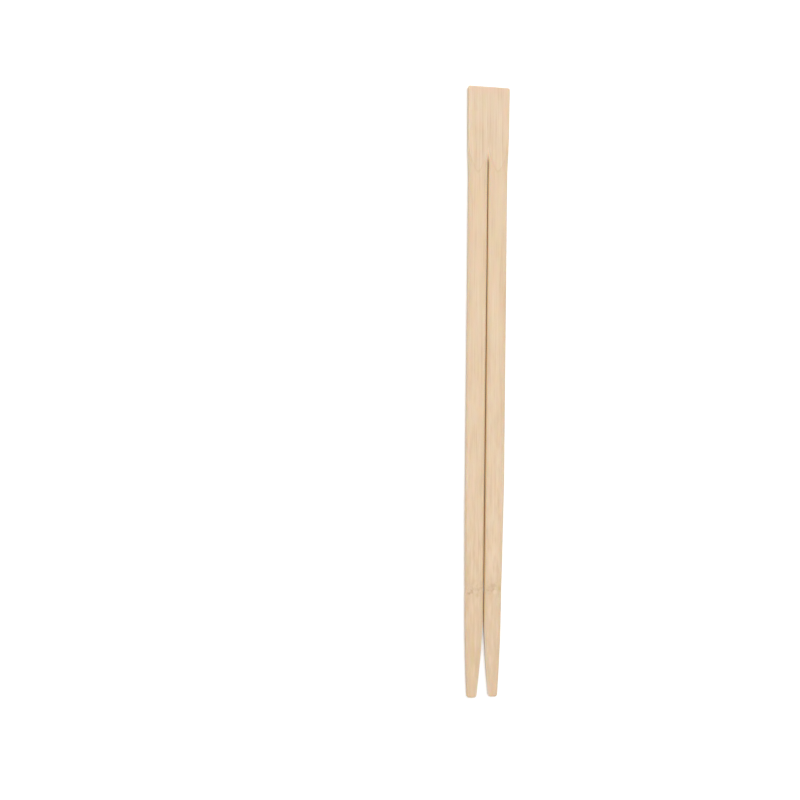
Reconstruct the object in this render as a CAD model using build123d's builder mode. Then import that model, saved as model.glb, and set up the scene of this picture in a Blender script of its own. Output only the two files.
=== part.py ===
"""A joined pair of disposable bamboo chopsticks, made in one piece from one slat of bamboo.

The slat keeps its full rectangular section at the head. Form cutters round the two sticks from above
and from below, and swing out of the slat at the shoulder, so a tongue of the flat face is left on each
stick. A thin slit parts the sticks, and the last stretch of each is ground down to a blunt, rounded tip.

Millimetres. The pair lies flat on Z = 0, with its head towards +Y and its slit on X = 0. An inset is
how far an edge draws in over the stretch that it names.
"""

import math
import os
from collections import namedtuple

from build123d import *

# The slat and its head, whose end is cut a little askew
length = 210.0
thickness = 5.0
head_width = 14.3
head_length = 22.1
head_inset = 0.2
head_skew = 3.0
corner_round = 0.6
edge_round = 0.35

# The shoulder, where the cutters swing out of the slat
shoulder_length = 9.9
shoulder_inset = 0.25
cutter_radius = 50.0

# The slit, which keeps its width for a little way past the shoulder and then runs to a point
slit_width = 0.3
slit_lead = 5.5
slit_point = 2.2

# The sticks' milled section: its top lies a little below the slat's upper face, and the lower cutters
# stop just short of the slat's underside, so a narrow flat strip of it is left along each stick
mill_depth = 0.12
strip_depth = 0.03
crown = 0.85
outer_round = 1.0
inner_round = 0.35

# The long taper, and the tips, which are ground in a curve that steepens towards the end
taper_depth = 0.13
tip_length = 29.0
tip_curve = 1.6
tip_thickness = 3.2
tip_crown = 0.6
tip_round = 0.9
tip_end_round = 0.8

# The left stick
left_taper_length = 34.0
left_taper_inset = 0.3
left_tip_inset = 0.95
left_tip_width = 3.35

# The right stick, which is slimmer towards its tip and ends a little sooner
right_taper_length = 45.0
right_taper_inset = 0.7
right_tip_inset = 0.95
right_tip_width = 3.1
right_tip_short = 0.4

# The share of the wall or round beside it that a round may take, and where the tips are drawn
round_share = 0.9
tip_stations = (0, 0.25, 0.5, 0.75, 1)

# Places that follow from the sizes
head_y = length / 2
shoulder_y = head_y - head_length - shoulder_length
tip_start_y = tip_length - length / 2
stick_thickness = thickness - mill_depth + strip_depth
stick_z = thickness - mill_depth - stick_thickness / 2
shoulder_edge = head_width / 2 - head_inset
outer_edge = shoulder_edge - shoulder_inset
inner_edge = slit_width / 2

# One stick's section: its edges, measured from the middle of the slit, and its form
Section = namedtuple("Section", "outer inner thick crown outer_round inner_round")
milled = Section(outer_edge, inner_edge, stick_thickness, crown, outer_round, inner_round)


def side_height(section):
    """Half the height of a section's upright sides, before its corners are rounded."""
    return section.thick / 2 - section.crown


def held(radius, wall):
    """A round's radius, held to what the wall or round beside it leaves room for."""
    return min(radius, round_share * wall)


def part_way(start, end, share):
    """The section that lies a share of the way from one section to another."""
    return Section(*(first + share * (last - first) for first, last in zip(start, end)))


def cross_plane(y):
    """The plane across the slat at y, with its origin at the middle of the sticks' thickness."""
    return Plane((0, y, stick_z), x_dir=(1, 0, 0), z_dir=(0, -1, 0))


def stick_profile(y, side, section):
    """One stick's section, drawn at y: upright sides, a crowned top and underside, rounded corners."""
    outer_x = side * section.outer
    inner_x = side * section.inner
    crown_x = (outer_x + inner_x) / 2
    top_z = section.thick / 2
    side_z = side_height(section)
    outwards = Axis((0, 0, 0), (side, 0, 0))
    with BuildSketch(cross_plane(y)) as profile:
        with BuildLine():
            ThreePointArc((inner_x, side_z), (crown_x, top_z), (outer_x, side_z))
            Line((outer_x, side_z), (outer_x, -side_z))
            ThreePointArc((outer_x, -side_z), (crown_x, -top_z), (inner_x, -side_z))
            Line((inner_x, -side_z), (inner_x, side_z))
        make_face()
        fillet(profile.vertices().group_by(outwards)[-1], held(section.outer_round, side_z))
        fillet(profile.vertices().group_by(outwards)[0], held(section.inner_round, side_z))
    return profile


def lofted_stick(side, taper_length, taper_inset, tip_inset, tip_width, tip_short=0.0):
    """One stick from the shoulder to its tip, with the tip's end rounded over."""
    tip_start = milled._replace(outer=outer_edge - taper_inset, thick=stick_thickness - 2 * taper_depth)
    tip_outer = tip_start.outer - tip_inset
    tip_end = Section(tip_outer, tip_outer - tip_width, tip_thickness, tip_crown, tip_round, tip_round)
    profiles = [stick_profile(y, side, milled) for y in (shoulder_y, tip_start_y + taper_length)]
    for station in tip_stations:
        y = tip_start_y - station * (tip_length - tip_short)
        profiles.append(stick_profile(y, side, part_way(tip_start, tip_end, station**tip_curve)))
    with BuildPart() as stick:
        loft([profile.sketch for profile in profiles], ruled=True)
        end_round = held(tip_end_round, held(tip_round, side_height(tip_end)))
        fillet(stick.faces().sort_by(Axis.Y)[0].edges(), end_round)
    return stick.part


left_stick = lofted_stick(-1, left_taper_length, left_taper_inset, left_tip_inset, left_tip_width)
right_stick = lofted_stick(
    1, right_taper_length, right_taper_inset, right_tip_inset, right_tip_width, right_tip_short
)

# The head: its outline narrows a little towards the shoulder, and its end is cut askew
skew_drop = head_width * math.tan(math.radians(head_skew))
with BuildPart() as head:
    with BuildSketch():
        with BuildLine():
            Line((-head_width / 2, head_y), (head_width / 2, head_y - skew_drop))
            Line((-outer_edge, shoulder_y), (outer_edge, shoulder_y))
            for side, end_y in ((-1, head_y), (1, head_y - skew_drop)):
                shoulder_point = (side * shoulder_edge, shoulder_y + shoulder_length)
                Line((side * head_width / 2, end_y), shoulder_point)
                Line(shoulder_point, (side * outer_edge, shoulder_y))
        make_face()
    extrude(amount=thickness)
    fillet(head.edges().filter_by(Axis.Z).sort_by(Axis.Y)[-2:], corner_round)
    rims = head.faces().filter_by(Axis.Z).edges()
    fillet(rims.sort_by(Axis.Y)[2:], held(edge_round, corner_round))

# The form cutter that rounds both sticks from above, as it swings up out of the slat at the shoulder
milled_profiles = [stick_profile(shoulder_y, side, milled) for side in (-1, 1)]
milled_side = side_height(milled)
outer_land = milled_side - held(outer_round, milled_side)
inner_land = milled_side - held(inner_round, milled_side)
with BuildPart() as cutter:
    with BuildSketch(cross_plane(shoulder_y)):
        for side in (-1, 1):
            with Locations((side * (inner_edge + head_width / 2), outer_land)):
                Rectangle(head_width, thickness, align=(Align.CENTER, Align.MIN))
        with Locations((0, inner_land)):
            Rectangle(slit_width, thickness, align=(Align.CENTER, Align.MIN))
        for profile in milled_profiles:
            add(profile.sketch_local, mode=Mode.SUBTRACT)
    cutter_z = stick_z + stick_thickness / 2 + cutter_radius
    revolve(axis=Axis((0, shoulder_y, cutter_z), (1, 0, 0)), revolution_arc=90)

# The slit's pointed end, which reaches past the shoulder into the head
with BuildPart() as slit_end:
    with BuildSketch():
        with BuildLine():
            Polyline(
                (-inner_edge, shoulder_y),
                (inner_edge, shoulder_y),
                (inner_edge, shoulder_y + slit_lead),
                (0, shoulder_y + slit_lead + slit_point),
                (-inner_edge, shoulder_y + slit_lead),
                close=True,
            )
        make_face()
    extrude(amount=thickness)

# The whole pair: the head, milled from both faces and slit, and the two sticks that grow out of it. The
# plane of the slat's underside cuts the sticks' lower crowns off flat, as far as they reach below it
with BuildPart() as chopstick_pair:
    add(head.part)
    add(cutter.part, mode=Mode.SUBTRACT)
    add(mirror(cutter.part, about=Plane.XY.offset(stick_z), mode=Mode.PRIVATE), mode=Mode.SUBTRACT)
    add(slit_end.part, mode=Mode.SUBTRACT)
    add(left_stick)
    add(right_stick)
    underneath = (Align.CENTER, Align.CENTER, Align.MAX)
    Box(2 * head_width, length, thickness, align=underneath, mode=Mode.SUBTRACT)

chopstick_pair.part.label = "chopstick_pair"
os.makedirs("parts", exist_ok=True)
export_step(chopstick_pair.part, "parts/chopstick_pair.step")
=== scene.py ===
import math
from collections import namedtuple

import bmesh
import bpy
import numpy as np
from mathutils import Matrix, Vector, noise


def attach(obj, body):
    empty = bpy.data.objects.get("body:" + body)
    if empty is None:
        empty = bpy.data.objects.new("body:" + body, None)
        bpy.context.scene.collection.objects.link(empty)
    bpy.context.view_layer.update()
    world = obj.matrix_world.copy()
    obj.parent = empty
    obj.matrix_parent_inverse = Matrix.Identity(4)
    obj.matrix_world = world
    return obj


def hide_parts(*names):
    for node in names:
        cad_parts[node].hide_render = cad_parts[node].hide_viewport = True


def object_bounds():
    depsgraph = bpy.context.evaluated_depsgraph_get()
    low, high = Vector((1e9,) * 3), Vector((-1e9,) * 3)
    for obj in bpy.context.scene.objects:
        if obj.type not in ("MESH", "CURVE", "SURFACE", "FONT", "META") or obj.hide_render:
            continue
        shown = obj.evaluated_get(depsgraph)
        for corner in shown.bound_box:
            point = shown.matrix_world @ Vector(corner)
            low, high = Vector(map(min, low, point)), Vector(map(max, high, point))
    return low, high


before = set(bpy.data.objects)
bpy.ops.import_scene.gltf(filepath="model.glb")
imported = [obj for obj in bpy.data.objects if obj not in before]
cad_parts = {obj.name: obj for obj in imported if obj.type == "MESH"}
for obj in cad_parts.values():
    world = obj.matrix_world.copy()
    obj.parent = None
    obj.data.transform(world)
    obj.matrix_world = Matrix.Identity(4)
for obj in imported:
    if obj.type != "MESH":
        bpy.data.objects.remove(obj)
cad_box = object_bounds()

# A joined pair of bamboo chopsticks on a white floor, seen from above and a little from its left. Sizes
# are in millimetres, with the head towards +Y, the slit on X = 0, the floor at Z = 0, the left stick at -X.
# An inset is how far an edge draws in over the stretch that it names
MM = 0.001

# The slat's thickness and its two ends, which lie evenly about the middle
low, high = cad_box
SLAT = round(high.z / MM, 3)
TIP_Y = round(low.y / MM, 3)
HEAD_Y = -TIP_Y

# The head, whose end is cut a little askew
HEAD_HALF = 7.15
HEAD_LENGTH = 22.1
HEAD_INSET = 0.2
HEAD_SKEW = math.tan(math.radians(3.0))
SKEW_LENGTH = 17.0
CORNER_ROUND = 0.6
EDGE_ROUND = 0.35

# The shoulder, where the cutters swing out of the slat
SHOULDER_LENGTH = 9.9
SHOULDER_INSET = 0.25
CUTTER_RADIUS = 50.0

# The slit, which keeps its width for a little way past the shoulder and then runs to a point
SLIT_WIDTH = 0.3
SLIT_LEAD = 5.5
SLIT_POINT = 2.2

# The sticks' milled section: its top lies a little below the slat's upper face, and the slat's underside
# cuts a narrow flat strip off its lower crown
MILL_DEPTH = 0.12
STRIP_DEPTH = 0.03
MILL_CROWN = 0.85
MILL_OUTER_ROUND = 1.0
MILL_INNER_ROUND = 0.35
ROUND_SHARE = 0.9

# The long taper, and the tips, which are ground in a curve that steepens towards the end
TAPER_DEPTH = 0.13
TIP_LENGTH = 29.0
TIP_CURVE = 1.6
TIP_THICK = 3.2
TIP_CROWN = 0.6
TIP_ROUND = 0.9
TIP_END_ROUND = 0.8

# Places that follow from the sizes. A land is the height, above the sticks' middle, of the ledge that the
# cutter leaves beside a stick
SKEW_FROM_Y = HEAD_Y - SKEW_LENGTH
SHOULDER_TOP_Y = HEAD_Y - HEAD_LENGTH
SHOULDER_TOP_HALF = HEAD_HALF - HEAD_INSET
SHOULDER_Y = SHOULDER_TOP_Y - SHOULDER_LENGTH
SLIT_FULL_Y = SHOULDER_Y + SLIT_LEAD
SLIT_POINT_Y = SLIT_FULL_Y + SLIT_POINT
TIP_START_Y = TIP_Y + TIP_LENGTH
OUTER_EDGE = SHOULDER_TOP_HALF - SHOULDER_INSET
INNER_EDGE = SLIT_WIDTH / 2
STICK_THICK = SLAT - MILL_DEPTH + STRIP_DEPTH
STICK_Z = SLAT - MILL_DEPTH - STICK_THICK / 2
OUTER_LAND = STICK_THICK / 2 - MILL_CROWN - MILL_OUTER_ROUND
INNER_LAND = STICK_THICK / 2 - MILL_CROWN - MILL_INNER_ROUND

# A stick's section is (outer edge, inner edge, thickness, crown, outer round, inner round), with its edges
# measured from the middle of the slit
OUTER, INNER, THICK, CROWN, OUTER_ROUND, INNER_ROUND = range(6)
MILLED = np.array([OUTER_EDGE, INNER_EDGE, STICK_THICK, MILL_CROWN, MILL_OUTER_ROUND, MILL_INNER_ROUND])
Stick = namedtuple("Stick", "side taper_y tip_y tip_start tip_end")


def tapered_stick(side, taper_length, taper_inset, tip_inset, tip_width, tip_short=0.0):
    """One stick's side, where its taper starts and its tip ends, and its tip's first and last section."""
    tip_start = MILLED - np.array([taper_inset, 0, 2 * TAPER_DEPTH, 0, 0, 0])
    tip_outer = tip_start[OUTER] - tip_inset
    tip_end = np.array([tip_outer, tip_outer - tip_width, TIP_THICK, TIP_CROWN, TIP_ROUND, TIP_ROUND])
    return Stick(side, TIP_START_Y + taper_length, TIP_Y + tip_short, tip_start, tip_end)


# The sticks, of which the right one is slimmer towards its tip and ends a little sooner
LEFT = tapered_stick(-1, taper_length=34.0, taper_inset=0.3, tip_inset=0.95, tip_width=3.35)
RIGHT = tapered_stick(1, taper_length=45.0, taper_inset=0.7, tip_inset=0.95, tip_width=3.1, tip_short=0.4)

# The bamboo's relief, cut inwards: broad planing waves, fibre ridges, and the scar of the bamboo's joint.
# A size is how long a bump is along X, Y and Z
WAVE_DEPTH = 0.025
WAVE_SIZE = (2.2, 55, 2.2)
FIBRE_DEPTH = 0.015
FIBRE_SIZE = (0.6, 18, 0.6)
SCAR_DEPTH = 0.12
SCAR_SIZE = (1.3, 0.9, 1.3)
SCAR_Y = -67.6
SCAR_REACH = 2.0

# The mesh: steps along the pair and round its ends, columns across each half, rows up each wall, and how
# near two points count as one, in metres
HEAD_STEP = 0.6
SHOULDER_STEP = 0.13
STICK_STEP = 0.8
SCAR_STEP = 0.3
SCAR_MARGIN = 6
TIP_STEP = 0.4
ROUND_STEPS = 9
SLIT_COLUMNS = 8
FACE_COLUMNS = 20
EDGE_COLUMNS = 12
INNER_BAND = 0.07
OUTER_BAND = 0.17
WALL_ROWS = 6
MERGE = 1e-6


def spread(start, end, step):
    """Even stations from start to just before end."""
    count = max(1, round(abs(end - start) / step))
    return np.linspace(start, end, count, endpoint=False)


def round_offsets(radius):
    """How far a rounded end's stations lie from that end."""
    return radius * (1 - np.cos(np.linspace(0, math.pi / 2, ROUND_STEPS)))


def stations():
    """The places along Y where the section is drawn, from the head's end to the left stick's tip."""
    return np.concatenate([
        HEAD_Y - round_offsets(CORNER_ROUND),
        spread(HEAD_Y - CORNER_ROUND, SKEW_FROM_Y, HEAD_STEP)[1:],
        spread(SKEW_FROM_Y, SLIT_POINT_Y, SHOULDER_STEP),
        spread(SLIT_POINT_Y, SLIT_FULL_Y, SHOULDER_STEP),
        spread(SLIT_FULL_Y, SHOULDER_Y, SHOULDER_STEP),
        spread(SHOULDER_Y, SCAR_Y + SCAR_MARGIN, STICK_STEP),
        spread(SCAR_Y + SCAR_MARGIN, SCAR_Y - SCAR_MARGIN, SCAR_STEP),
        spread(SCAR_Y - SCAR_MARGIN, LEFT.tip_y + TIP_END_ROUND, TIP_STEP),
        LEFT.tip_y + round_offsets(TIP_END_ROUND)[::-1],
    ])


def column_shares():
    """Where the columns lie across a half, as shares of its width, closer together at both edges."""
    inner = INNER_BAND * np.linspace(0, 1, SLIT_COLUMNS, endpoint=False) ** 2
    face = np.linspace(INNER_BAND, 1 - OUTER_BAND, FACE_COLUMNS, endpoint=False)
    outer = 1 - OUTER_BAND * np.linspace(1, 0, EDGE_COLUMNS + 1) ** 2
    return np.concatenate([inner, face, outer])


def crowned_height(x, section):
    """Height of a stick's top above its middle: a crown between two rounded corners."""
    outer, inner, thick, crown, outer_round, inner_round = section
    middle = (outer + inner) / 2
    half = (outer - inner) / 2
    arc = (half**2 + crown**2) / (2 * crown)
    arc_z = thick / 2 - arc
    height = arc_z + np.sqrt(np.maximum(arc**2 - (x - middle) ** 2, 0))
    for edge, out, wanted in ((outer, 1, outer_round), (inner, -1, inner_round)):
        radius = np.minimum(wanted, ROUND_SHARE * (thick / 2 - crown))
        round_x = edge - out * radius
        round_z = arc_z + np.sqrt((arc - radius) ** 2 - (round_x - middle) ** 2)
        meet_x = middle + arc * (round_x - middle) / (arc - radius)
        rounded = round_z + np.sqrt(np.maximum(radius**2 - (x - round_x) ** 2, 0))
        height = np.where(out * (x - meet_x) > 0, rounded, height)
    return height


def end_inset(distance, radius):
    """How far a rounded end has drawn in at a distance from it."""
    left = np.clip(radius - distance, 0, radius)
    return radius - np.sqrt(radius**2 - left**2)


def stick_sections(stick, y):
    """A stick's sections along Y, with its end rounded over."""
    taper = np.clip((stick.taper_y - y) / (stick.taper_y - TIP_START_Y), 0, 1)
    ground_off = np.clip((TIP_START_Y - y) / (TIP_START_Y - stick.tip_y), 0, 1) ** TIP_CURVE
    sections = MILLED + np.outer(taper, stick.tip_start - MILLED)
    sections += np.outer(ground_off, stick.tip_end - stick.tip_start)
    inset = end_inset(y - stick.tip_y, TIP_END_ROUND)
    width = sections[:, OUTER] - sections[:, INNER]
    sections[:, OUTER] -= inset
    sections[:, INNER] += inset
    sections[:, THICK] -= 2 * inset
    sections[:, CROWN] *= (1 - 2 * inset / width) ** 2
    sections[:, OUTER_ROUND] -= inset
    sections[:, INNER_ROUND] -= inset
    return sections


def stick_grid(stick, y, shares):
    """The x, y, top and underside of a stick at the stations below the shoulder."""
    below = np.minimum(y - TIP_START_Y, 0)
    tip_scale = (stick.tip_y - TIP_START_Y) / (LEFT.tip_y - TIP_START_Y)
    y = np.maximum(y, TIP_START_Y) + below * tip_scale
    section = [field[:, None] for field in stick_sections(stick, y).T]
    x = section[INNER] + (section[OUTER] - section[INNER]) * shares
    height = crowned_height(x, section)
    return x, np.broadcast_to(y[:, None], x.shape), STICK_Z + height, np.maximum(STICK_Z - height, 0)


def cutter_profile(x):
    """Height of the cutter's edge above the sticks' middle: their section, and the lands beside it."""
    lip = crowned_height(MILLED[INNER], MILLED)
    groove = INNER_LAND + (lip - INNER_LAND) * x / MILLED[INNER]
    profile = np.where(x > MILLED[OUTER], OUTER_LAND, crowned_height(x, MILLED))
    return np.where(x < MILLED[INNER], groove, profile)


def rim_inset(x, to_end, outline):
    """How far the head's upper and lower faces draw in at its rounded edges and corners."""
    corner_x = x - (outline - CORNER_ROUND)
    corner_y = CORNER_ROUND - to_end
    in_corner = (corner_x > 0) & (corner_y > 0)
    to_corner = CORNER_ROUND - np.hypot(corner_x, corner_y)
    to_rim = np.where(in_corner, to_corner, np.minimum(outline - x, to_end))
    return end_inset(to_rim, EDGE_ROUND)


def head_grid(side, y, shares):
    """The x, y, top and underside of one half of the head and its shoulder."""
    y = y[:, None]
    halves = [MILLED[OUTER], SHOULDER_TOP_HALF, HEAD_HALF]
    outline = np.interp(y, [SHOULDER_Y, SHOULDER_TOP_Y, HEAD_Y], halves)
    to_end = HEAD_Y - y
    outer = outline - end_inset(to_end, CORNER_ROUND)
    inner = np.interp(y, [SLIT_FULL_Y, SLIT_POINT_Y], [MILLED[INNER], 0])
    x = inner + (outer - inner) * shares

    rim = rim_inset(x, to_end, outline)
    swing = MILLED[THICK] / 2 + CUTTER_RADIUS
    cut = swing - np.sqrt((swing - cutter_profile(x)) ** 2 - (y - SHOULDER_Y) ** 2)
    top = np.minimum(SLAT - rim, STICK_Z + cut)
    under = np.maximum(rim, STICK_Z - cut)

    end_y = HEAD_Y - HEAD_SKEW * (HEAD_HALF + side * x)
    skewed = (y - SKEW_FROM_Y) * (end_y - SKEW_FROM_Y) / (HEAD_Y - SKEW_FROM_Y)
    return x, np.where(y > SKEW_FROM_Y, SKEW_FROM_Y + skewed, y), top, under


def half_loops(stick, y, shares):
    """Loops of points round one half: its top, outer wall, underside, inner wall, and its start again."""
    in_head = y > SHOULDER_Y
    parts = zip(head_grid(stick.side, y[in_head], shares), stick_grid(stick, y[~in_head], shares))
    x, y, top, under = (np.concatenate(part) for part in parts)
    x = stick.side * x
    rows = np.arange(1, WALL_ROWS) / WALL_ROWS

    def wall(column, shares_down):
        edge = slice(column, column + 1) if column >= 0 else slice(column, None)
        heights = top[:, edge] + (under - top)[:, edge] * shares_down
        flat = [np.broadcast_to(part[:, edge], heights.shape) for part in (x, y)]
        return np.stack([*flat, heights], axis=-1)

    upper = np.stack([x, y, top], axis=-1)
    lower = np.stack([x, y, under], axis=-1)
    loop = [upper, wall(-1, rows), lower[:, ::-1], wall(0, rows[::-1]), upper[:, :1]]
    return np.concatenate(loop, axis=1)


def grid_quads(rows, columns):
    """Quads between the neighbouring points of a grid, row by row."""
    row, column = np.meshgrid(np.arange(rows - 1), np.arange(columns - 1), indexing="ij")
    first = row * columns + column
    return np.stack([first, first + 1, first + columns + 1, first + columns], axis=-1)


def end_face(loop, columns):
    """A grid of points that closes a flat end, from its upper edge down to its lower edge."""
    upper = loop[:columns]
    lower = loop[columns + WALL_ROWS - 1 : 2 * columns + WALL_ROWS - 1][::-1]
    return upper + (lower - upper) * np.linspace(0, 1, WALL_ROWS + 1)[:, None, None]


def half_surface(stick):
    """The points and quads of one half of the pair, whose inner wall begins at the slit's point."""
    y = stations()
    shares = column_shares()
    loops = half_loops(stick, y, shares)
    around = grid_quads(*loops.shape[:2])
    slit_ring = int(np.argmin(abs(y - SLIT_POINT_Y)))
    inner_wall = 2 * len(shares) + WALL_ROWS - 2
    quads = [around[:, :inner_wall].reshape(-1, 4), around[slit_ring:, inner_wall:].reshape(-1, 4)]
    points = [loops.reshape(-1, 3)]
    for loop in (loops[0], loops[-1]):
        face = end_face(loop, len(shares))
        quads.append(grid_quads(*face.shape[:2]).reshape(-1, 4) + sum(map(len, points)))
        points.append(face.reshape(-1, 3))
    return np.concatenate(points), np.concatenate(quads)


def bumps(place, size):
    """Smooth noise from -1 to 1, with bumps of a size along X, Y and Z."""
    return noise.noise(Vector([along / length for along, length in zip(place, size)]))


def relief(place):
    """How deep the surface lies below the planed form."""
    near = math.exp(-(((place.y - SCAR_Y) / SCAR_REACH) ** 2))
    wave = WAVE_DEPTH * (1 + bumps(place, WAVE_SIZE))
    fibre = FIBRE_DEPTH * (1 + bumps(place, FIBRE_SIZE))
    scar = SCAR_DEPTH * near * (1 + bumps(place, SCAR_SIZE))
    return (wave + fibre + scar) / 2


def chopstick_pair():
    """The pair as one closed mesh, its two halves joined where they meet in the head."""
    halves = [half_surface(stick) for stick in (LEFT, RIGHT)]
    points = np.concatenate([half[0] for half in halves]) * MM
    quads = np.concatenate([halves[0][1], halves[1][1] + len(halves[0][0])])
    mesh = bpy.data.meshes.new("chopstick_pair_bamboo")
    mesh.from_pydata(points.tolist(), [], quads.tolist())

    shell = bmesh.new()
    shell.from_mesh(mesh)
    bmesh.ops.remove_doubles(shell, verts=shell.verts, dist=MERGE)
    bmesh.ops.delete(shell, geom=[v for v in shell.verts if not v.link_faces], context="VERTS")
    bmesh.ops.recalc_face_normals(shell, faces=shell.faces)
    shell.normal_update()
    moved = [v.co - v.normal * relief(v.co / MM) * MM for v in shell.verts]
    for vertex, place in zip(shell.verts, moved):
        vertex.co = place
    for face in shell.faces:
        face.smooth = True
    shell.to_mesh(mesh)
    shell.free()

    pair = bpy.data.objects.new("chopstick_pair_bamboo", mesh)
    bpy.context.scene.collection.objects.link(pair)
    return pair


# The bamboo's colours
BAMBOO = (0.795, 0.63, 0.455, 1)
FIBRE_DARK = (0.69, 0.50, 0.325, 1)
FIBRE_PALE = (0.85, 0.70, 0.545, 1)
PINK = (0.82, 0.605, 0.455, 1)
YELLOW = (0.785, 0.635, 0.415, 1)
TIP = (0.70, 0.535, 0.365, 1)
MILLED_TONE = (0.80, 0.625, 0.42, 1)
CUT_LINE = (0.66, 0.46, 0.27, 1)
# Painted light: the walls where the sticks face each other are made paler
INNER_WALL_LIGHT = (0.96, 0.82, 0.66, 1)
# Painted bounce light on the slit's walls, and painted shade on its lips
KERF_BOUNCE_LIGHT = (0.98, 0.67, 0.32, 1)
LIP_SHADE = (0.58, 0.37, 0.17, 1)
SCAR = (0.50, 0.32, 0.17, 1)
SCAR_PINK = (0.86, 0.66, 0.53, 1)
SCAR_YELLOW = (0.66, 0.49, 0.24, 1)
TIP_YELLOW = (0.72, 0.555, 0.30, 1)

# Its fibres. A grain is the size of a noise along X, Y and Z, a share is its part in the tone, and a range
# is where a mask is 0 and where it is 1
FIBRE_GRAIN = (0.3, 22, 0.3)
FIBRE_DETAIL = 3.0
FIBRE_SHARE = 0.5
BAND_GRAIN = (0.9, 60, 0.9)
BAND_SHARE = 0.22
PATCH_GRAIN = (4, 16, 4)
PATCH_SHARE = 0.28
DARK_RANGE = (0.5, 0.34)
PALE_RANGE = (0.5, 0.64)
HUE_GRAIN = (1.5, 15, 1.5)
PINK_RANGE = (0.52, 0.75)
YELLOW_RANGE = (0.48, 0.25)
HUE_STRENGTH = 0.6
FLECK_GRAIN = (0.14, 3.5, 0.14)
FLECK_DETAIL = 1.0
FLECK_RANGE = (0.64, 0.76)
FLECK_STRENGTH = 0.4
TIP_RANGE = (-45, -100)
TIP_STRENGTH = 0.8

# The mottling, which grows towards the tips
MOTTLE_GRAIN = (0.8, 7, 0.8)
MOTTLE_ALONG = (60, -70)
MOTTLE_PALE = (0.5, 0.72)
MOTTLE_DARK = (0.5, 0.28)
MOTTLE_STRENGTH = 0.7

# The milled faces, below the planed one, and painted light that makes the walls between the sticks paler
MILLED_RANGE = (SLAT - 0.035, SLAT - 0.075)
MILLED_STRENGTH = 0.3
CUT_LINE_RANGE = (SLAT - 0.12, SLAT - 0.07)
CUT_LINE_STRENGTH = 0.3
INNER_WALL_LIGHT_RANGE = (-0.3, -0.9)
INNER_WALL_LIGHT_STRENGTH = 0.85

# Painted light and shade of the slit: an orange tone on its walls for light bounced between them, and
# painted shade on its lips, which narrows to a point past its end and deepens towards the tips
KERF_BOUNCE_ALONG = (SLIT_POINT_Y, SLIT_FULL_Y - 3)
KERF_BOUNCE_ACROSS = (0.5, 0.15)
KERF_BOUNCE_STRENGTH = 0.85
LIP_SHADE_FULL_Y = SLIT_POINT_Y - 2
LIP_SHADE_NARROWING = 0.16
LIP_SHADE_ACROSS = (0.75, 0.3)
LIP_SHADE_UP = (3.85, 4.05)
LIP_SHADE_STRENGTH = 0.4
LIP_SHADE_ALONG = (60, -70)
LIP_SHADE_DEEPENING = 0.4

# The scar of the bamboo's joint: fibres that swirl, and a broken ring
SWIRL_GRAIN = (2.0, 1.6, 2.0)
SWIRL_RANGE = (5.0, 0.0)
SWIRL_REACH = 3.0
RING_RANGE = (0.45, 0.1)
RING_GRAIN = (1.1, 3, 1.1)
RING_BREAKS = (0.42, 0.6)
RING_STRENGTH = 0.4

# Ragged marks at the joint, a yellow streak on the left tip, and the pinker end of the head: place, size,
# colour and strength
MARKS = (
    ((-3.2, -67.5), (6.0, 5.0), SCAR, 0.10),
    ((3.2, -67.0), (6.0, 5.0), SCAR, 0.10),
    ((-5.1, -69.1), (0.9, 0.7), SCAR, 0.6),
    ((-4.2, -68.7), (1.0, 0.8), SCAR, 0.35),
    ((-2.4, -67.8), (2.0, 0.8), SCAR, 0.2),
    ((-2.2, -69.7), (0.8, 1.0), SCAR_YELLOW, 0.5),
    ((3.1, -66.4), (1.8, 1.1), SCAR, 0.3),
    ((2.8, -68.2), (0.9, 0.9), SCAR, 0.25),
    ((3.8, -68.5), (1.1, 1.3), SCAR_PINK, 0.7),
    ((5.5, -67.4), (1.0, 1.6), SCAR_YELLOW, 0.5),
    ((-3.7, -89.5), (1.1, 9.0), TIP_YELLOW, 0.6),
    ((0.0, 103.8), (16.0, 2.6), PINK, 0.5),
)
MARK_RANGE = (1.0, 0.2)
MARK_THROUGH = 20.0
RAGGED_GRAIN = (0.5, 0.7, 0.5)

# The dots of the end grain, on faces that look along Y
END_RANGE = (0.7, 0.95)
DOT_GRAIN = (0.26, 400, 0.26)
DOT_DETAIL = 1.0
DOT_RANGE = (0.54, 0.66)
DOT_STRENGTH = 0.5

# Its surface, which lets a little light in
ROUGHNESS = 0.6
SPECULAR = 0.25
LIGHT_SHARE = 0.6
LIGHT_RADIUS = (1.0, 0.5, 0.2)
LIGHT_REACH = 1.5
BUMP_STRENGTH = 0.35
BUMP_HEIGHT = 0.03

# Sockets of a colour mix, and the middle of a noise's colour
MIX_SHARE, MIX_FIRST, MIX_SECOND, MIX_RESULT = 0, 6, 7, 2
MID_NOISE = (0.5, 0.5, 0.5)

# Where a point of the bamboo lies, with its normal, and with the place that its fibres come from
Point = namedtuple("Point", "place x y z normal flow")


def feed(tree, socket, value):
    """Links an output to a socket, or sets the socket."""
    if isinstance(value, bpy.types.NodeSocket):
        tree.links.new(value, socket)
    else:
        socket.default_value = value


def maths(tree, operation, *values):
    """The output of a maths node."""
    made = tree.nodes.new("ShaderNodeMath")
    made.operation = operation
    for socket, value in zip(made.inputs, values):
        feed(tree, socket, value)
    return made.outputs[0]


def vectors(tree, operation, first, second, output="Vector"):
    """The output of a vector maths node."""
    made = tree.nodes.new("ShaderNodeVectorMath")
    made.operation = operation
    feed(tree, made.inputs[0], first)
    feed(tree, made.inputs[1], second)
    return made.outputs[output]


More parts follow.
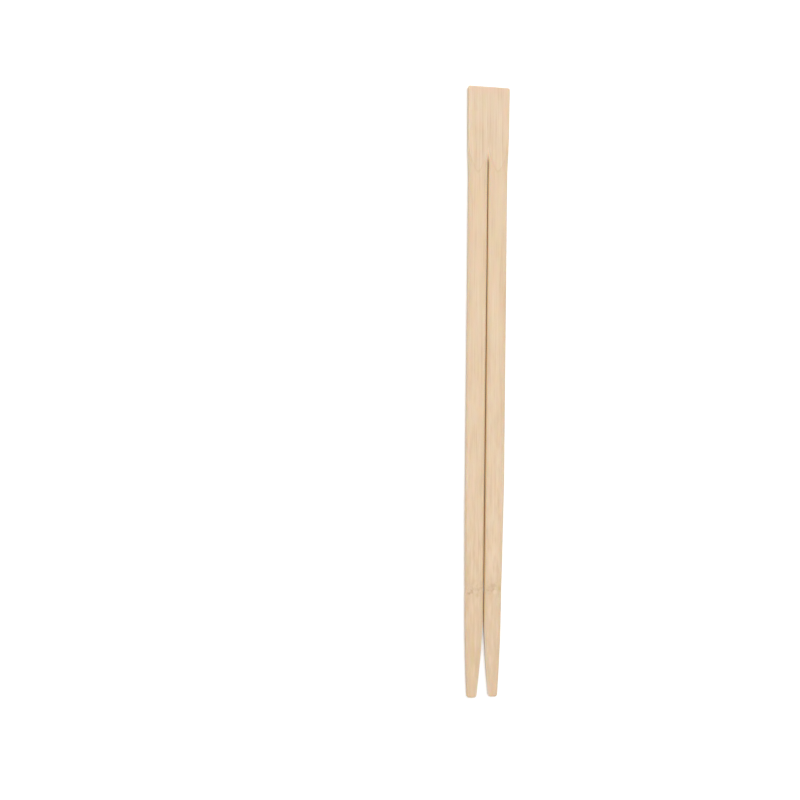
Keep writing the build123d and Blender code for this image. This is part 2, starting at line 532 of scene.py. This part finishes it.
def scaled(tree, vector, scale):
    """A vector times a number."""
    made = tree.nodes.new("ShaderNodeVectorMath")
    made.operation = "SCALE"
    feed(tree, made.inputs[0], vector)
    feed(tree, made.inputs["Scale"], scale)
    return made.outputs["Vector"]


def separated(tree, vector):
    """A vector's X, Y and Z."""
    made = tree.nodes.new("ShaderNodeSeparateXYZ")
    feed(tree, made.inputs[0], vector)
    return made.outputs


def grain(tree, place, size, detail=2.0, output="Fac"):
    """Noise whose grains have a size in millimetres along X, Y and Z."""
    made = tree.nodes.new("ShaderNodeTexNoise")
    feed(tree, made.inputs["Vector"], vectors(tree, "MULTIPLY", place, [1 / length for length in size]))
    made.inputs["Scale"].default_value = 1.0
    made.inputs["Detail"].default_value = detail
    return made.outputs[output]


def scatter(tree, place, size):
    """Noise that moves a place to either side along X, Y and Z."""
    return vectors(tree, "SUBTRACT", grain(tree, place, size, output="Color"), MID_NOISE)


def ramp(tree, value, low, high):
    """A smooth rise from 0 at low to 1 at high."""
    made = tree.nodes.new("ShaderNodeMapRange")
    made.interpolation_type = "SMOOTHSTEP"
    for name, setting in (("Value", value), ("From Min", low), ("From Max", high)):
        feed(tree, made.inputs[name], setting)
    return made.outputs["Result"]


def both(tree, first, second):
    """A mask of what lies in two masks."""
    return maths(tree, "MULTIPLY", first, second)


def off(tree, value, middle):
    """How far a value lies from a middle, to either side."""
    return maths(tree, "ABSOLUTE", maths(tree, "SUBTRACT", value, middle))


def layer(tree, colour, tone, mask, strength=1.0):
    """A colour with a tone laid over it where the mask is 1."""
    made = tree.nodes.new("ShaderNodeMix")
    made.data_type = "RGBA"
    feed(tree, made.inputs[MIX_SHARE], maths(tree, "MULTIPLY", mask, strength))
    feed(tree, made.inputs[MIX_FIRST], colour)
    feed(tree, made.inputs[MIX_SECOND], tone)
    return made.outputs[MIX_RESULT]


def spot(tree, place, centre, size):
    """A soft spot: 1 at its centre and 0 beyond its size."""
    away = vectors(tree, "SUBTRACT", place, centre)
    away = vectors(tree, "MULTIPLY", away, [1 / length for length in size])
    distance = vectors(tree, "LENGTH", away, (0, 0, 0), "Value")
    return ramp(tree, distance, *MARK_RANGE)


def surface_point(tree):
    """The point that is shaded. Near the bamboo's joint its fibres swirl."""
    place = scaled(tree, tree.nodes.new("ShaderNodeTexCoord").outputs["Object"], 1 / MM)
    x, y, z = separated(tree, place)
    normal = separated(tree, tree.nodes.new("ShaderNodeNewGeometry").outputs["Normal"])
    near_scar = ramp(tree, off(tree, y, SCAR_Y), *SWIRL_RANGE)
    reach = maths(tree, "MULTIPLY", near_scar, SWIRL_REACH)
    swirl = scaled(tree, scatter(tree, place, SWIRL_GRAIN), reach)
    return Point(place, x, y, z, normal, vectors(tree, "ADD", place, swirl))


def fibre_colour(tree, point, fibre):
    """Long fibres in soft bands of dark and pale, pink and yellow, with short flecks and darker tips."""
    tone = maths(tree, "MULTIPLY", fibre, FIBRE_SHARE)
    tone = maths(tree, "MULTIPLY_ADD", grain(tree, point.flow, BAND_GRAIN), BAND_SHARE, tone)
    tone = maths(tree, "MULTIPLY_ADD", grain(tree, point.flow, PATCH_GRAIN), PATCH_SHARE, tone)
    colour = layer(tree, BAMBOO, FIBRE_DARK, ramp(tree, tone, *DARK_RANGE))
    colour = layer(tree, colour, FIBRE_PALE, ramp(tree, tone, *PALE_RANGE))
    hue = grain(tree, point.flow, HUE_GRAIN)
    colour = layer(tree, colour, PINK, ramp(tree, hue, *PINK_RANGE), HUE_STRENGTH)
    colour = layer(tree, colour, YELLOW, ramp(tree, hue, *YELLOW_RANGE), HUE_STRENGTH)
    fleck = ramp(tree, grain(tree, point.flow, FLECK_GRAIN, FLECK_DETAIL), *FLECK_RANGE)
    colour = layer(tree, colour, FIBRE_DARK, fleck, FLECK_STRENGTH)
    return layer(tree, colour, TIP, ramp(tree, point.y, *TIP_RANGE), TIP_STRENGTH)


def mottled(tree, point, colour):
    """Pale and dark mottling towards the tips."""
    mottle = grain(tree, point.flow, MOTTLE_GRAIN)
    along = ramp(tree, point.y, *MOTTLE_ALONG)
    pale = both(tree, along, ramp(tree, mottle, *MOTTLE_PALE))
    colour = layer(tree, colour, SCAR_PINK, pale, MOTTLE_STRENGTH)
    dark = both(tree, along, ramp(tree, mottle, *MOTTLE_DARK))
    return layer(tree, colour, FIBRE_DARK, dark, MOTTLE_STRENGTH)


def milled_faces(tree, point, colour):
    """A yellower tone on the milled faces, a line where they begin, and painted light that makes the walls
    between the sticks paler where they face each other.
    """
    milled = ramp(tree, point.z, *MILLED_RANGE)
    colour = layer(tree, colour, MILLED_TONE, milled, MILLED_STRENGTH)
    cut_line = both(tree, milled, ramp(tree, point.z, *CUT_LINE_RANGE))
    colour = layer(tree, colour, CUT_LINE, cut_line, CUT_LINE_STRENGTH)
    # Painted light: walls that face the other stick are made paler
    outwards = maths(tree, "MULTIPLY", point.normal["X"], maths(tree, "SIGN", point.x))
    inner_wall = ramp(tree, outwards, *INNER_WALL_LIGHT_RANGE)
    return layer(tree, colour, INNER_WALL_LIGHT, inner_wall, INNER_WALL_LIGHT_STRENGTH)


def slit_bounce_light_and_shade(tree, point, colour):
    """Painted light and shade of the slit: an orange tone for light bounced between its walls, and painted
    shade on its lips.
    """
    off_slit = maths(tree, "ABSOLUTE", point.x)
    # Painted bounce light: an orange tone on the slit's walls
    kerf_bounce = both(tree, ramp(tree, point.y, *KERF_BOUNCE_ALONG), ramp(tree, off_slit, *KERF_BOUNCE_ACROSS))
    colour = layer(tree, colour, KERF_BOUNCE_LIGHT, kerf_bounce, KERF_BOUNCE_STRENGTH)
    # Painted shade on the slit's lips, narrowing towards the head and deepening towards the tips
    past = maths(tree, "MAXIMUM", maths(tree, "SUBTRACT", point.y, LIP_SHADE_FULL_Y), 0.0)
    lip = ramp(tree, maths(tree, "MULTIPLY_ADD", past, LIP_SHADE_NARROWING, off_slit), *LIP_SHADE_ACROSS)
    lip = both(tree, lip, ramp(tree, point.z, *LIP_SHADE_UP))
    depth = maths(tree, "MULTIPLY_ADD", ramp(tree, point.y, *LIP_SHADE_ALONG), LIP_SHADE_DEEPENING, LIP_SHADE_STRENGTH)
    return layer(tree, colour, LIP_SHADE, lip, depth)


def marked(tree, point, colour):
    """The broken ring of the bamboo's joint, and the ragged marks."""
    off_ring = off(tree, separated(tree, point.flow)["Y"], SCAR_Y)
    breaks = ramp(tree, grain(tree, point.place, RING_GRAIN), *RING_BREAKS)
    ring = both(tree, ramp(tree, off_ring, *RING_RANGE), breaks)
    colour = layer(tree, colour, SCAR, ring, RING_STRENGTH)
    ragged = vectors(tree, "ADD", point.place, scatter(tree, point.place, RAGGED_GRAIN))
    for (x, y), (across, along), tone, strength in MARKS:
        mark = spot(tree, ragged, (x, y, SLAT / 2), (across, along, MARK_THROUGH))
        colour = layer(tree, colour, tone, mark, strength)
    return colour


def end_grained(tree, point, colour):
    """The cut fibres' dots on the ends."""
    on_end = ramp(tree, maths(tree, "ABSOLUTE", point.normal["Y"]), *END_RANGE)
    dots = ramp(tree, grain(tree, point.place, DOT_GRAIN, DOT_DETAIL), *DOT_RANGE)
    return layer(tree, colour, SCAR, both(tree, on_end, dots), DOT_STRENGTH)


def bamboo():
    """Planed bamboo."""
    material = bpy.data.materials.new("bamboo")
    material.use_nodes = True
    tree = material.node_tree
    shader = tree.nodes["Principled BSDF"]
    point = surface_point(tree)
    fibre = grain(tree, point.flow, FIBRE_GRAIN, FIBRE_DETAIL)
    colour = fibre_colour(tree, point, fibre)
    for laid_over in (mottled, milled_faces, slit_bounce_light_and_shade, marked, end_grained):
        colour = laid_over(tree, point, colour)
    feed(tree, shader.inputs["Base Color"], colour)
    shader.inputs["Roughness"].default_value = ROUGHNESS
    shader.inputs["Specular IOR Level"].default_value = SPECULAR
    shader.inputs["Subsurface Weight"].default_value = LIGHT_SHARE
    shader.inputs["Subsurface Radius"].default_value = LIGHT_RADIUS
    shader.inputs["Subsurface Scale"].default_value = LIGHT_REACH * MM
    bump = tree.nodes.new("ShaderNodeBump")
    bump.inputs["Strength"].default_value = BUMP_STRENGTH
    bump.inputs["Distance"].default_value = BUMP_HEIGHT * MM
    feed(tree, bump.inputs["Height"], fibre)
    feed(tree, shader.inputs["Normal"], bump.outputs["Normal"])
    return material


# The floor, the light and the camera, in metres. The lift is how much brighter the floor looks than it
# is lit
FLOOR_SIZE = 6.0
FLOOR_WHITE = (0.9, 0.9, 0.9, 1)
FLOOR_LIFT = 0.25
SKY_WHITE = (1, 1, 1, 1)
SKY = 0.36
LAMP_FROM = Vector((0.0, 0.25, 1.8))
LAMP_SPREAD = math.radians(31)
LAMP_STRENGTH = 2.05
CAMERA_TARGET = Vector((-0.02941, -0.00350, 0.0035))
CAMERA_REACH = 0.75
CAMERA_LEAN = math.radians(3.3)
CAMERA_ROLL = math.radians(0.594)
PICTURE_WIDTH = 0.27405


def seen_rays(tree):
    """1 for the rays that show a surface to the camera, straight or in a gloss, and 0 for the others."""
    rays = tree.nodes.new("ShaderNodeLightPath").outputs
    seen = maths(tree, "MAXIMUM", rays["Is Camera Ray"], rays["Is Glossy Ray"])
    return maths(tree, "MAXIMUM", seen, rays["Is Transmission Ray"])


def white_floor():
    """A white floor that takes the pair's shadow, lifted a little for the rays that the camera sees."""
    bpy.ops.mesh.primitive_plane_add(size=FLOOR_SIZE, location=(0, 0, 0))
    floor = bpy.context.object
    floor.name = "floor"
    material = bpy.data.materials.new("floor_white")
    material.use_nodes = True
    tree = material.node_tree
    shader = tree.nodes["Principled BSDF"]
    shader.inputs["Base Color"].default_value = FLOOR_WHITE
    shader.inputs["Roughness"].default_value = 1.0
    shader.inputs["Specular IOR Level"].default_value = 0.0
    shader.inputs["Emission Color"].default_value = FLOOR_WHITE
    lift = maths(tree, "MULTIPLY", seen_rays(tree), FLOOR_LIFT)
    feed(tree, shader.inputs["Emission Strength"], lift)
    floor.data.materials.append(material)


def sky():
    """Even light from all round, which shows as plain white behind the floor."""
    world = bpy.data.worlds.new("sky")
    bpy.context.scene.world = world
    world.use_nodes = True
    tree = world.node_tree
    strength = maths(tree, "MULTIPLY_ADD", seen_rays(tree), 1 - SKY, SKY)
    background = tree.nodes["Background"]
    background.inputs["Color"].default_value = SKY_WHITE
    feed(tree, background.inputs["Strength"], strength)


def lamp():
    """A broad soft lamp, far above the pair and a little towards its head."""
    data = bpy.data.lights.new("lamp", "SUN")
    data.angle = LAMP_SPREAD
    data.energy = LAMP_STRENGTH
    light = bpy.data.objects.new("lamp", data)
    light.location = LAMP_FROM
    light.rotation_euler = (-LAMP_FROM).to_track_quat("-Z", "Y").to_euler()
    bpy.context.scene.collection.objects.link(light)


def camera():
    """A long lens that looks down on the pair, from a little to its left."""
    data = bpy.data.cameras.new("camera")
    data.lens = data.sensor_width * CAMERA_REACH / PICTURE_WIDTH
    eye = bpy.data.objects.new("camera", data)
    away = Vector((-math.sin(CAMERA_LEAN), 0, math.cos(CAMERA_LEAN)))
    eye.location = CAMERA_TARGET + CAMERA_REACH * away
    eye.rotation_euler = (0, -CAMERA_LEAN, CAMERA_ROLL)
    bpy.context.scene.collection.objects.link(eye)
    bpy.context.scene.camera = eye


pair = chopstick_pair()
pair.data.materials.append(bamboo())
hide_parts("chopstick_pair")
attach(pair, "root")
white_floor()
sky()
lamp()
camera()
bpy.context.scene.view_settings.view_transform = "Standard"
